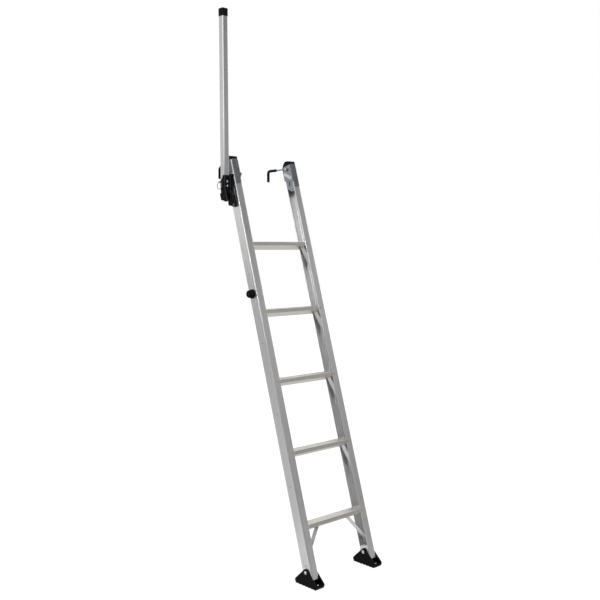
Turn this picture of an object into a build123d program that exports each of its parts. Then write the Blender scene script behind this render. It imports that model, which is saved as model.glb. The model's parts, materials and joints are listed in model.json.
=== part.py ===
import os
from math import cos, radians, sin, tan

from build123d import *

os.makedirs("parts", exist_ok=True)

# Truck ladder, millimetres. +X to the climber's right, +Y towards the truck, +Z up.
# The origin is on the ground, midway between the two shoes and under their pivots.
# In the ladder's own plane, n runs from the stiles' front face towards the truck
# and s runs up the stiles from the ground.

# Ladder layout
lean = 16.3                     # the stiles lean towards the truck, degrees from upright
clear_width = 305.0             # between the flange tips of the two stiles
rung_count = 5
rung_pitch = 299.0
first_tread = 245.0             # front edge of the lowest tread, along the stile
stile_foot = 33.0               # lower end of the stiles
stile_head = 369.0              # stile length above the top tread

# Stile section, a channel that opens inwards
stile_depth = 50.0
stile_width = 35.0
stile_wall = 2.2
stile_corner = 3.5
bead = 3.5                      # thickened flange tip
bead_length = 14.0
bead_round = 1.2
web_groove_width = 2.0
web_groove_depth = 0.5
web_groove_offset = 9.0

# Rung section, a hollow wedge with a level tread
rung_lip = 15.8
rung_drop = 8.7                 # how much lower the underside lies at the rear
rung_wall = 2.0
rung_round = 1.6
rung_end_gap = 0.5
rib_pitch = 5.0
rib_width = 2.0
rib_height = 0.4

# Fasteners
fit = 0.05                      # radial clearance of shanks in their holes
running_gap = 0.3               # between faces that turn against each other
rivet_radius = 2.5
rivet_head_radius = 4.5
rivet_head = 2.0
rung_rivet_head = 0.8           # nearly flush
rivet_tail_radius = 3.8
rivet_tail = 1.5
rivet_inset = 9.0               # rung rivets, in from the flange tip
screw_radius = 2.5
screw_head_radius = 4.5
screw_head = 2.5

# Braces, flat bars from the rungs' underside to the stile webs
brace_width = 22.0
brace_thick = 3.0
brace_n = 23.0
brace_tab = 30.0
brace_start = 149.0             # upper braces leave the rung here, from the middle
brace_fall = 102.0
bottom_brace_start = 90.0
bottom_brace_fall = 119.0

# Shoes
shoe_pivot_height = 56.0
shoe_pivot_n = 27.0
shoe_length = 125.0
shoe_plate = 5.0
shoe_gap = 0.4
shoe_apex = 14.0
shoe_shoulder = 8.0
shoe_base = 3.5
sole_thick = 9.0
sole_undercut = 5.5             # the sole's ends slope in by this much
sole_groove_width = 5.0
sole_groove_depth = 2.0
sole_groove_pitch = 18.0
sole_screw_offset = 48.0
shoe_bolt_radius = 5.0
shoe_bolt_head_radius = 7.5
shoe_bolt_head = 4.0
insert_length = 59.0
insert_wall = 2.5
insert_setback = 7.0            # room for the brace tab behind the insert

# Hook brackets at the stile tops
bracket_wall = 3.5
bracket_block = 5.0             # inner wall, proud of the flange tips
bracket_front_round = 8.0
bracket_rear_round = 6.0
bracket_top = 1.0               # inner wall's upper edge, below the stile top
bracket_depth = 78.5            # inner wall's level lower edge, below the stile top
bracket_rear_width = 27.0       # rear wall, from the inner face
bracket_side = 3.0              # wall on the stile's web, joined to the rear wall
bracket_side_front = 5.0        # its front edge, behind the stile's front face
bracket_side_depth = 58.0       # its lower edge, below the stile top
cover_rise = 4.0                # front cover, above the stile top
cover_lip = 0.5                 # left of the cover's upper edge, above its bevel
cover_round = 6.0
cover_depth = 105.0             # front cover, below the stile top
cover_edge = 4.5                # front cover, in from the stile's outer face
cover_screws = (15.0, 88.0)     # below the stile top
rear_screw = 40.0
bracket_screw_setback = 14.5    # in from the stile's outer face
tongue_top = 12.0               # plate in the channel mouth, below the stile top
tongue_depth = 124.0
tongue_thick = 3.0
tongue_nose = 15.0
tongue_cut = 20.0
tongue_slot = (7.0, 17.0)
tongue_slot_n = 26.5
tongue_slot_below = 85.0
cap_height = 16.0               # at the front; the top is level as far as the ridge
cap_ridge = 24.0
cap_rear_arc = 40.0
cap_overhang = 1.5              # inwards, over the flange tips
cap_front_round = 4.0
cap_plug = 8.0
cap_plug_fit = 0.5

# Hooks and their latches
hook_n = 22.6
hook_below = 16.5               # hook pivot below the stile top
hook_boss_radius = 6.5
hook_boss = 2.9
hook_eye_radius = 8.0           # the rod's flattened end
hook_eye = 4.0
hook_rod_radius = 3.0
hook_reach = 122.0
hook_leg = 47.0
hook_bend = 12.0
hook_pivot_radius = 3.0
hook_head_radius = 6.0
hook_head = 1.5
hook_nut_radius = 5.0
hook_nut = 3.5
sleeve_radius = 6.2
sleeve_start = 66.0
sleeve_tip = 4.0
latch_n = 4.0
latch_below = 64.0
latch_run = (33.6, 28.6)        # from the latch's screw to its nose, in n and s
latch_thick = 1.6
latch_root_radius = 7.5
latch_nose_radius = 6.5
latch_screw_radius = 2.0
latch_head_radius = 4.0

# Handrail on the left stile
rail_size = 28.0
rail_wall = 2.0
rail_round = 4.0
rail_gap = 23.0                 # between the rail and the stile
rail_reach = 773.0              # rail top above its pivot
rail_seat = 22.0                # rail foot above its pivot
rail_pivot_n = 30.0
rail_pivot_below = 142.5        # below the stile top
rail_offset = 6.0               # rail axis behind its pivot
rail_cap_wall = 1.5
rail_cap_top = 3.0
rail_cap_height = 33.0
rail_cap_round = 3.0
socket_wall = 2.25
socket_fit = 0.1
socket_top = 74.0
socket_rear = 13.0              # the socket is open behind this
socket_rear_low = 6.0
socket_rear_high = 46.0
rail_pivot_radius = 4.0
rail_pivot_head_radius = 6.0
rail_pivot_head = 3.0
rail_rivet_heights = (28.0, 46.5)

# Fixed bracket that carries the rail
rail_side_gap = 0.5
block_top = 81.0
block_front = 9.4
block_rear = 14.0
block_pivot_radius = 13.0
lobe_radius = 9.3
front_lobe = (-4.2, -55.0)      # lobes at the block's lower end, in n and s from the pivot
rear_lobe = (9.5, -45.5)
lobe_thick = 11.5               # the front lobe is thinner than the block
upper_bolt = (4.0, 62.0)
bolt_pocket = 8.5
bolt_pocket_radius = 8.5
bolt_head_radius = 6.5
bolt_head = 4.0
relief_depth = 6.5              # the block stands clear of the stile by the pivot
relief_low = -9.0
relief_high = 31.0
stop_thick = 4.0
stop_low = 24.0
stop_high = 44.0
stop_reach = 14.0
cheek_thick = 3.5
cheek_outline = (               # y and z from the pivot
    (-18.5, 14.0),
    (-18.5, 71.5),
    (-12.5, 71.5),
    (7.0, 54.5),
    (11.5, 42.0),
    (9.5, 13.0),
    (8.0, -10.0),
    (-1.0, -33.0),
    (-21.0, -40.0),
    (-36.0, -40.0),
)
cheek_round = 2.0
back_web = 3.5
back_web_low = -30.0            # in s from the pivot
back_web_high = 0.0

# Lock plunger and its pull ring
lock_y = -2.0
lock_z = 42.75
lock_travel = 4.0
lock_radius = 5.5
lock_length = 5.0
lock_boss_radius = 7.5
lock_boss = 6.0
lock_end_wall = 1.5
lock_stem_radius = 2.5
lock_eye_radius = 4.5
lock_eye_width = 5.0
spring_wire = 0.35
spring_turns = 3
ring_radius = 15.0
ring_wire = 1.3
ring_hole = 2.0

# Rubber rest for the folded rail
rest_n = 30.0
rest_s = 1219.0
rest_base_radius = 20.0
rest_end_radius = 15.0
rest_clearance = 1.0
rest_round = 3.0

# Places that follow from the sizes above
lean_sin = sin(radians(lean))
lean_cos = cos(radians(lean))
half_clear = clear_width / 2
outer_x = half_clear + stile_width
web_x = outer_x - stile_wall
stile_top = first_tread + (rung_count - 1) * rung_pitch + stile_head
shoe_pivot_s = (shoe_pivot_height + shoe_pivot_n * lean_sin) / lean_cos
front_line_y = -(shoe_pivot_n * lean_cos + shoe_pivot_s * lean_sin)
ladder = Plane(origin=(0, front_line_y, 0), x_dir=(1, 0, 0), z_dir=(0, lean_sin, lean_cos))
up_stile = Axis(ladder.origin, ladder.z_dir)
rearwards = Axis(ladder.origin, ladder.y_dir)
treads = [first_tread + k * rung_pitch for k in range(rung_count)]


def at(x, n, s):
    return ladder.from_local_coords(Vector(x, n, s))


def side(x, n=0.0, s=0.0):
    return Plane(origin=at(x, n, s), x_dir=ladder.y_dir, z_dir=(1, 0, 0))


def across(x, n, s, facing=1):
    return Plane(origin=at(x, n, s), x_dir=(1, 0, 0), z_dir=ladder.y_dir * facing)


def upright(x, point):
    return Plane(origin=(x, point.Y, point.Z), x_dir=(0, 1, 0), z_dir=(1, 0, 0))


def outward(plane, facing):
    return Plane(origin=plane.origin, z_dir=Vector(facing, 0, 0))


def finish(piece, name):
    piece.part.label = name
    export_step(piece.part, f"parts/{name}.step")


def fasteners(planes, radius, grip, head_radius, head, tail_radius=0.0, tail=0.0):
    # Head on each plane's outer side, shank through the grip, and a tail or nut behind some.
    with Locations(*planes):
        Cone(head_radius, head_radius * 0.65, head, align=(Align.CENTER, Align.CENTER, Align.MIN))
        Cylinder(radius, grip, align=(Align.CENTER, Align.CENTER, Align.MAX))
        if tail > 0:
            with Locations((0, 0, -grip)):
                Cylinder(tail_radius, tail, align=(Align.CENTER, Align.CENTER, Align.MAX))


def drill(planes, radius, depth):
    with Locations(*planes):
        Cylinder(radius, depth, mode=Mode.SUBTRACT)


# Fastener places, for the right side; hand turns them to the left
def rung_rivet_planes(hand):
    planes = []
    for tread in treads:
        s = tread - rung_lip / 2
        x = hand * (half_clear + rivet_inset)
        planes.append(across(x, 0, s, -1))
        planes.append(across(x, stile_depth, s, 1))
    return planes


def brace_tab_s(k):
    fall = bottom_brace_fall if k == 0 else brace_fall
    return treads[k] - underside_at_brace - fall - brace_tab / 2


def brace_rivet_planes(hand):
    return [outward(side(hand * outer_x, brace_n, brace_tab_s(k)), hand) for k in range(rung_count)]


def bracket_screw_planes(hand):
    x = hand * (outer_x - bracket_screw_setback)
    front = [across(x, -bracket_wall, stile_top - below, -1) for below in cover_screws]
    rear = [across(x, stile_depth + bracket_wall, stile_top - rear_screw, 1)]
    return front + rear


# Rung outline in n and s from the front edge of the tread
rung_front = bead
rung_rear = stile_depth - bead
tread_rise = (rung_rear - rung_front) * tan(radians(lean))
rung_heel = rung_lip + rung_drop
underside_at_brace = rung_lip + rung_drop * (brace_n - rung_front) / (rung_rear - rung_front)
rung_reach = outer_x - stile_corner - rung_end_gap
shoe_pivot = at(0, shoe_pivot_n, shoe_pivot_s)
hook_pivot = at(0, hook_n, stile_top - hook_below)
latch_pivot = at(0, latch_n, stile_top - latch_below)
rail_pivot_s = stile_top - rail_pivot_below
rail_pivot = at(0, rail_pivot_n, rail_pivot_s)
rail_x = -(outer_x + rail_gap + rail_size / 2)
socket_half = rail_size / 2 + socket_fit + socket_wall
socket_inner_x = rail_x + socket_half
socket_outer_x = rail_x - socket_half
block_x = socket_inner_x + rail_side_gap
cheek_inner_x = socket_outer_x - rail_side_gap
cheek_x = cheek_inner_x - cheek_thick
fold_angle = 180 - lean


def from_rail_pivot(n, s):
    # A place given in the ladder's n and s becomes y and z of the upright plane.
    return (n * lean_cos + s * lean_sin, -n * lean_sin + s * lean_cos)


rail_bolts = [from_rail_pivot(*front_lobe), upper_bolt]


def rail_bolt_planes(x):
    places = [Vector(0, rail_pivot.Y + y, rail_pivot.Z + z) for y, z in rail_bolts]
    return [outward(upright(x, place), -1) for place in places]


# Stiles
with BuildSketch(ladder.offset(stile_foot)) as stile_section:
    with Locations((half_clear + stile_width / 2, stile_depth / 2)):
        Rectangle(stile_width, stile_depth)
    fillet(stile_section.vertices().group_by(Axis.X)[-1], stile_corner)
    offset(amount=-stile_wall, mode=Mode.SUBTRACT)
    with Locations((half_clear + stile_wall / 2, stile_depth / 2)):
        Rectangle(stile_wall, stile_depth - 2 * bead, mode=Mode.SUBTRACT)
    with Locations(
        (half_clear + bead_length / 2, bead / 2),
        (half_clear + bead_length / 2, stile_depth - bead / 2),
    ):
        Rectangle(bead_length, bead)
    tips = stile_section.vertices().group_by(Axis.X)[0].group_by(Axis.Y)
    fillet(tips[0] + tips[-1], bead_round)
    with Locations(
        (outer_x, stile_depth / 2 - web_groove_offset),
        (outer_x, stile_depth / 2 + web_groove_offset),
    ):
        Rectangle(2 * web_groove_depth, web_groove_width, mode=Mode.SUBTRACT)


def stile_holes(hand):
    through = 4 * stile_wall + 2 * bead
    drill(rung_rivet_planes(hand), rivet_radius + fit, through)
    drill(brace_rivet_planes(hand), rivet_radius + fit, through)
    drill(bracket_screw_planes(hand), screw_radius + fit, through)
    drill([side(hand * outer_x, shoe_pivot_n, shoe_pivot_s)], shoe_bolt_radius + fit, through)


with BuildPart() as right_stile:
    extrude(stile_section.sketch, amount=stile_top - stile_foot)
    stile_holes(1)
finish(right_stile, "right_stile")

with BuildPart() as left_stile:
    extrude(stile_section.sketch, amount=stile_top - stile_foot)
    mirror(about=Plane.YZ, mode=Mode.REPLACE)
    stile_holes(-1)
    drill(rail_bolt_planes(-outer_x), screw_radius + fit, 4 * stile_wall)
    drill([side(-outer_x, rest_n, rest_s)], screw_radius + fit, 4 * stile_wall)
finish(left_stile, "left_stile")

# Rungs, numbered from the lowest
rib_count = int((rung_rear - rung_front - 2 * rib_width) / lean_cos // rib_pitch)
rib_start = ((rung_rear - rung_front) / lean_cos - (rib_count - 1) * rib_pitch) / 2

for k, tread in enumerate(treads):
    with BuildPart() as rung:
        with BuildSketch(side(-rung_reach, 0, tread)) as rung_section:
            with BuildLine():
                Polyline(
                    (rung_front, 0),
                    (rung_rear, tread_rise),
                    (rung_rear, -rung_heel),
                    (rung_front, -rung_lip),
                    close=True,
                )
            make_face()
            fillet(rung_section.vertices(), rung_round)
            offset(amount=-rung_wall, mode=Mode.SUBTRACT)
            for rib in range(rib_count):
                along = rib_start + rib * rib_pitch
                with Locations((rung_front + along * lean_cos, along * lean_sin)):
                    Rectangle(rib_width, 2 * rib_height, rotation=lean)
        extrude(amount=2 * rung_reach)
        rivet_places = [across(x, stile_depth / 2, tread - rung_lip / 2)
                        for x in (-half_clear - rivet_inset, half_clear + rivet_inset)]
        drill(rivet_places, rivet_radius + fit, stile_depth)
    finish(rung, f"rung_{k + 1}")

rung_grip = bead + rung_wall
with BuildPart() as rung_rivets:
    for hand in (-1, 1):
        fasteners(rung_rivet_planes(hand), rivet_radius, rung_grip,
                  rivet_head_radius, rung_rivet_head, rivet_tail_radius, rivet_tail)
finish(rung_rivets, "rung_rivets")


# Braces: each is cut off along the rung's underside and lies flat on the stile's web
def brace_bar(k, start, fall):
    run = web_x - brace_thick / 2 - start
    above = brace_width
    with BuildSketch(across(0, brace_n, treads[k] - underside_at_brace, -1)) as bar:
        with BuildLine():
            Polyline(
                (start - run * above / fall, above),
                (web_x - brace_thick / 2, -fall),
                (web_x - brace_thick / 2, -fall - brace_tab),
            )
        trace(line_width=brace_thick)
    return bar.sketch


def trim_under_rung(k):
    slope = ladder.y_dir * (rung_rear - rung_front) - ladder.z_dir * rung_drop
    place = at(0, brace_n, treads[k] - underside_at_brace)
    split(bisect_by=Plane(origin=place, x_dir=(1, 0, 0), z_dir=slope.cross(Vector(1, 0, 0))), keep=Keep.TOP)


upper_braces = []
for k in range(1, rung_count):
    with BuildPart() as upper_brace:
        extrude(brace_bar(k, brace_start, brace_fall), amount=brace_width / 2, both=True)
        trim_under_rung(k)
        drill([side(web_x, brace_n, brace_tab_s(k))], rivet_radius + fit, 4 * brace_thick)
    upper_braces.append(upper_brace.part)

with BuildPart() as right_rung_braces:
    add(upper_braces)
finish(right_rung_braces, "right_rung_braces")

with BuildPart() as left_rung_braces:
    mirror(right_rung_braces.part, about=Plane.YZ)
finish(left_rung_braces, "left_rung_braces")

with BuildPart() as right_bottom_brace:
    extrude(brace_bar(0, bottom_brace_start, bottom_brace_fall), amount=brace_width / 2, both=True)
    trim_under_rung(0)
    drill([side(web_x, brace_n, brace_tab_s(0))], rivet_radius + fit, 4 * brace_thick)
finish(right_bottom_brace, "right_bottom_brace")

with BuildPart() as left_bottom_brace:
    mirror(right_bottom_brace.part, about=Plane.YZ)
finish(left_bottom_brace, "left_bottom_brace")

with BuildPart() as brace_rivets:
    for hand in (-1, 1):
        fasteners(brace_rivet_planes(hand), rivet_radius, stile_wall + brace_thick,
                  rivet_head_radius, rivet_head, rivet_tail_radius, rivet_tail)
finish(brace_rivets, "brace_rivets")

# Foot inserts, short tubes in the channel ends that the shoe bolts pass through
insert_width = stile_width - stile_wall - insert_setback
with BuildPart() as right_foot_insert:
    with BuildSketch(ladder.offset(stile_foot)):
        with Locations((half_clear + insert_width / 2, stile_depth / 2)):
            Rectangle(insert_width, stile_depth - 2 * bead)
        offset(amount=-insert_wall, mode=Mode.SUBTRACT)
    extrude(amount=insert_length)
    drill([side(half_clear, shoe_pivot_n, shoe_pivot_s)], shoe_bolt_radius + fit, 4 * stile_width)
finish(right_foot_insert, "right_foot_insert")

with BuildPart() as left_foot_insert:
    mirror(right_foot_insert.part, about=Plane.YZ)
finish(left_foot_insert, "left_foot_insert")

# Shoes, with a side plate on each side of the stile
shoe_inner_x = half_clear - shoe_gap - shoe_plate
shoe_outer_x = outer_x + shoe_gap + shoe_plate
shoe_width = shoe_outer_x - shoe_inner_x
shoe_mid_x = (shoe_inner_x + shoe_outer_x) / 2
ground_point = Vector(0, shoe_pivot.Y, 0)
sole_screw_places = [Vector(shoe_mid_x, shoe_pivot.Y + y, sole_thick + shoe_base)
                     for y in (-sole_screw_offset, sole_screw_offset)]
sole_screw_planes = [Plane(origin=place, z_dir=(0, 0, 1)) for place in sole_screw_places]

with BuildPart() as right_shoe:
    for x in (shoe_inner_x, shoe_outer_x - shoe_plate):
        with BuildSketch(upright(x, ground_point)):
            with Locations((0, shoe_pivot_height)):
                Circle(shoe_apex)
            with Locations((0, sole_thick + shoe_shoulder / 2)):
                Rectangle(shoe_length, shoe_shoulder)
            make_hull()
        extrude(amount=shoe_plate)
    with BuildSketch(upright(shoe_inner_x, ground_point)):
        with Locations((0, sole_thick + shoe_base / 2)):
            Rectangle(shoe_length, shoe_base)
    extrude(amount=shoe_width)
    drill([upright(shoe_mid_x, shoe_pivot)], shoe_bolt_radius + fit, 2 * shoe_width)
    drill(sole_screw_planes, screw_radius + fit, 4 * shoe_base)
finish(right_shoe, "right_shoe")

with BuildPart() as left_shoe:
    mirror(right_shoe.part, about=Plane.YZ)
finish(left_shoe, "left_shoe")

# Rubber soles with sloping ends and cross grooves
sole_groove_count = int((shoe_length - 2 * sole_undercut) // sole_groove_pitch)
with BuildPart() as right_sole:
    with BuildSketch(upright(shoe_inner_x, ground_point)):
        with BuildLine():
            Polyline(
                (-shoe_length / 2, sole_thick),
                (shoe_length / 2, sole_thick),
                (shoe_length / 2 - sole_undercut, 0),
                (sole_undercut - shoe_length / 2, 0),
                close=True,
            )
        make_face()
        with GridLocations(sole_groove_pitch, 0, sole_groove_count, 1):
            Rectangle(sole_groove_width, 2 * sole_groove_depth, mode=Mode.SUBTRACT)
    extrude(amount=shoe_width)
    drill(sole_screw_planes, screw_radius + fit, 2 * (shoe_base + sole_thick / 2))
finish(right_sole, "right_sole")

with BuildPart() as left_sole:
    mirror(right_sole.part, about=Plane.YZ)
finish(left_sole, "left_sole")

with BuildPart() as right_sole_screws:
    fasteners(sole_screw_planes, screw_radius, shoe_base + sole_thick / 2, screw_head_radius, screw_head)
finish(right_sole_screws, "right_sole_screws")

with BuildPart() as left_sole_screws:
    mirror(right_sole_screws.part, about=Plane.YZ)
finish(left_sole_screws, "left_sole_screws")

# Shoe bolts, with a rounded head at both ends
with BuildPart() as right_shoe_bolt:
    fasteners([outward(upright(shoe_outer_x + running_gap, shoe_pivot), 1)], shoe_bolt_radius,
              shoe_width + 2 * running_gap, shoe_bolt_head_radius, shoe_bolt_head,
              shoe_bolt_head_radius, shoe_bolt_head)
    chamfer(right_shoe_bolt.faces().sort_by(Axis.X)[0].edges(), shoe_bolt_head / 2)
finish(right_shoe_bolt, "right_shoe_bolt")

with BuildPart() as left_shoe_bolt:
    mirror(right_shoe_bolt.part, about=Plane.YZ)
finish(left_shoe_bolt, "left_shoe_bolt")

# Hook brackets: a wrap round the stile, a front cover and a plate in the channel mouth
block_inner_x = half_clear - bracket_block
cover_inner_x = block_inner_x + bracket_front_round
cover_outer_x = outer_x - cover_edge
side_outer_x = outer_x + bracket_side
side_rear = stile_depth + bracket_wall
hook_eye_x = block_inner_x - hook_boss - running_gap - hook_eye / 2
latch_x = block_inner_x - running_gap - latch_thick
wrap_bottom = at(0, 0, stile_top - bracket_depth)
cover_length = cover_depth + cover_rise

with BuildPart() as right_hook_bracket:
    with BuildSketch(ladder.offset(stile_top - cover_depth)) as wrap:
        with Locations((block_inner_x + bracket_rear_width / 2, stile_depth / 2)):
            Rectangle(bracket_rear_width, stile_depth + 2 * bracket_wall)
        corners = wrap.vertices().group_by(Axis.X)[0].sort_by(Axis.Y)
        fillet(corners[0], bracket_front_round)
        corners = wrap.vertices().group_by(Axis.X)[0].sort_by(Axis.Y)
        fillet(corners[-1], bracket_rear_round)
        with Locations((half_clear + bracket_rear_width / 2, stile_depth / 2)):
            Rectangle(bracket_rear_width, stile_depth, mode=Mode.SUBTRACT)
    extrude(amount=cover_depth - bracket_top)
    split(bisect_by=Plane.XY.offset(wrap_bottom.Z), keep=Keep.TOP)
    with BuildSketch(ladder.offset(stile_top - bracket_side_depth)):
        with Locations(((half_clear + side_outer_x) / 2, stile_depth + bracket_wall / 2)):
            Rectangle(side_outer_x - half_clear, bracket_wall)
        with Locations((outer_x + bracket_side / 2, (bracket_side_front + side_rear) / 2)):
            Rectangle(bracket_side, side_rear - bracket_side_front)
    extrude(amount=bracket_side_depth - bracket_top)
    with BuildSketch(across((cover_inner_x + cover_outer_x) / 2, 0, stile_top - cover_depth, -1)) as cover:
        with Locations((0, cover_length / 2)):
            Rectangle(cover_outer_x - cover_inner_x, cover_length)
        fillet(cover.vertices().group_by(Axis.Y)[0], cover_round)
    extrude(amount=bracket_wall)
    cover_edges = right_hook_bracket.faces().sort_by(up_stile)[-1].edges()
    chamfer(cover_edges.sort_by(rearwards)[0], bracket_wall - cover_lip)
    with BuildSketch(side(half_clear, 0, stile_top - tongue_depth)):
        with BuildLine():
            Polyline(
                (bead, 0),
                (bead + tongue_nose, 0),
                (stile_depth - bead, tongue_cut),
                (stile_depth - bead, tongue_depth - tongue_top),
                (bead, tongue_depth - tongue_top),
                close=True,
            )
        make_face()
        with Locations((tongue_slot_n, tongue_depth - tongue_slot_below)):
            Rectangle(*tongue_slot, rotation=lean, mode=Mode.SUBTRACT)
    extrude(amount=tongue_thick)
    with Locations(outward(upright(block_inner_x, hook_pivot), -1)):
        Cylinder(hook_boss_radius, hook_boss, align=(Align.CENTER, Align.CENTER, Align.MIN))
    drill([upright(half_clear, hook_pivot)], hook_pivot_radius + fit, 4 * (bracket_block + tongue_thick))
    drill([upright(half_clear, latch_pivot)], latch_screw_radius + fit, 4 * bracket_block)
    drill(bracket_screw_planes(1), screw_radius + fit, 4 * bracket_wall)
finish(right_hook_bracket, "right_hook_bracket")

with BuildPart() as left_hook_bracket:
    mirror(right_hook_bracket.part, about=Plane.YZ)
finish(left_hook_bracket, "left_hook_bracket")

with BuildPart() as bracket_screws:
    for hand in (-1, 1):
        fasteners(bracket_screw_planes(hand), screw_radius, bracket_wall + stile_wall,
                  screw_head_radius, screw_head, screw_head_radius, screw_head)
finish(bracket_screws, "bracket_screws")

# Rubber caps on the stile ends, each with a plug inside the channel
cap_width = stile_width
plug_inner_x = half_clear + bead_length
plug_width = web_x - cap_plug_fit - plug_inner_x
with BuildPart() as right_top_cap:
    with BuildSketch(side(half_clear - cap_overhang, 0, stile_top)) as cap_outline:
        ridge = (cap_ridge, cap_height + cap_ridge * tan(radians(lean)))
        with BuildLine():
            Polyline((stile_depth, 0), (0, 0), (0, cap_height), ridge)
            RadiusArc(ridge, (stile_depth, 0), cap_rear_arc)
        make_face()
        fillet(cap_outline.vertices().sort_by(Axis.X)[:2].sort_by(Axis.Y)[-1], cap_front_round)
    extrude(amount=cap_width)
    with BuildSketch(ladder.offset(stile_top - cap_plug)):
        with Locations((plug_inner_x + plug_width / 2, stile_depth / 2)):
            Rectangle(plug_width, stile_depth - 2 * stile_corner)
    extrude(amount=cap_plug)
finish(right_top_cap, "right_top_cap")

with BuildPart() as left_top_cap:
    mirror(right_top_cap.part, about=Plane.YZ)
finish(left_top_cap, "left_top_cap")


# Hooks: an eye on the pivot, a rod to the rear and a leg that drops behind the truck's gate
def hook_path(start, leg):
    with BuildLine(upright(hook_eye_x, hook_pivot)) as path:
        FilletPolyline((start, 0), (hook_reach, 0), (hook_reach, -leg), radius=hook_bend)
    return path.line


def hook_tube(start, leg, radius, mode):
    path = hook_path(start, leg)
    with BuildSketch(Plane(origin=path @ 0, z_dir=path % 0)) as bar:
        Circle(radius)
    sweep(bar.sketch, path=path, mode=mode)


with BuildPart() as right_hook_rod:
    hook_tube((hook_boss_radius + hook_eye_radius) / 2, hook_leg, hook_rod_radius, Mode.ADD)
    with Locations(upright(hook_eye_x, hook_pivot)):
        Cylinder(hook_eye_radius, hook_eye)
    drill([upright(hook_eye_x, hook_pivot)], hook_pivot_radius + fit, 2 * hook_eye)
finish(right_hook_rod, "right_hook_rod")

with BuildPart() as left_hook_rod:
    mirror(right_hook_rod.part, about=Plane.YZ)
finish(left_hook_rod, "left_hook_rod")

with BuildPart() as right_hook_sleeve:
    hook_tube(sleeve_start, hook_leg + sleeve_tip, sleeve_radius, Mode.ADD)
    fillet(right_hook_sleeve.edges().group_by(Axis.Z)[0], sleeve_radius * 0.6)
    hook_tube(0, hook_leg, hook_rod_radius + fit, Mode.SUBTRACT)
finish(right_hook_sleeve, "right_hook_sleeve")

with BuildPart() as left_hook_sleeve:
    mirror(right_hook_sleeve.part, about=Plane.YZ)
finish(left_hook_sleeve, "left_hook_sleeve")

hook_screw_grip = hook_eye + 2 * running_gap + hook_boss + bracket_block + tongue_thick
hook_screw_x = hook_eye_x - hook_eye / 2 - running_gap
with BuildPart() as hook_pivot_screws:
    for hand in (-1, 1):
        fasteners([outward(upright(hand * hook_screw_x, hook_pivot), -hand)], hook_pivot_radius,
                  hook_screw_grip, hook_head_radius, hook_head, hook_nut_radius, hook_nut)
finish(hook_pivot_screws, "hook_pivot_screws")

# Latches beside the hooks
latch_nose = from_rail_pivot(*latch_run)
with BuildPart() as right_hook_latch:
    with BuildSketch(upright(latch_x, latch_pivot)):
        Circle(latch_root_radius)
        with Locations(latch_nose):
            Circle(latch_nose_radius)
        make_hull()
        Circle(latch_screw_radius + fit, mode=Mode.SUBTRACT)
    extrude(amount=latch_thick)
finish(right_hook_latch, "right_hook_latch")

with BuildPart() as left_hook_latch:
    mirror(right_hook_latch.part, about=Plane.YZ)
finish(left_hook_latch, "left_hook_latch")

with BuildPart() as latch_screws:
    for hand in (-1, 1):
        fasteners([outward(upright(hand * (latch_x - running_gap), latch_pivot), -hand)],
                  latch_screw_radius, latch_thick + 2 * running_gap + bracket_block - fit,
                  latch_head_radius, screw_head)
finish(latch_screws, "latch_screws")

# Fixed rail bracket: a block on the stile, a cheek outside the socket and a web that joins them
lobe_front = from_rail_pivot(*front_lobe)
lobe_rear = from_rail_pivot(*rear_lobe)
socket_front_y = rail_offset - socket_half
stop_y = rail_offset + rail_size / 2 + rail_side_gap
web_front_n = -socket_front_y + rivet_head + rail_side_gap
lock_place = Vector(0, rail_pivot.Y + lock_y, rail_pivot.Z + lock_z)
lock_end_x = cheek_x - lock_boss
block_thick = -outer_x - block_x

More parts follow.
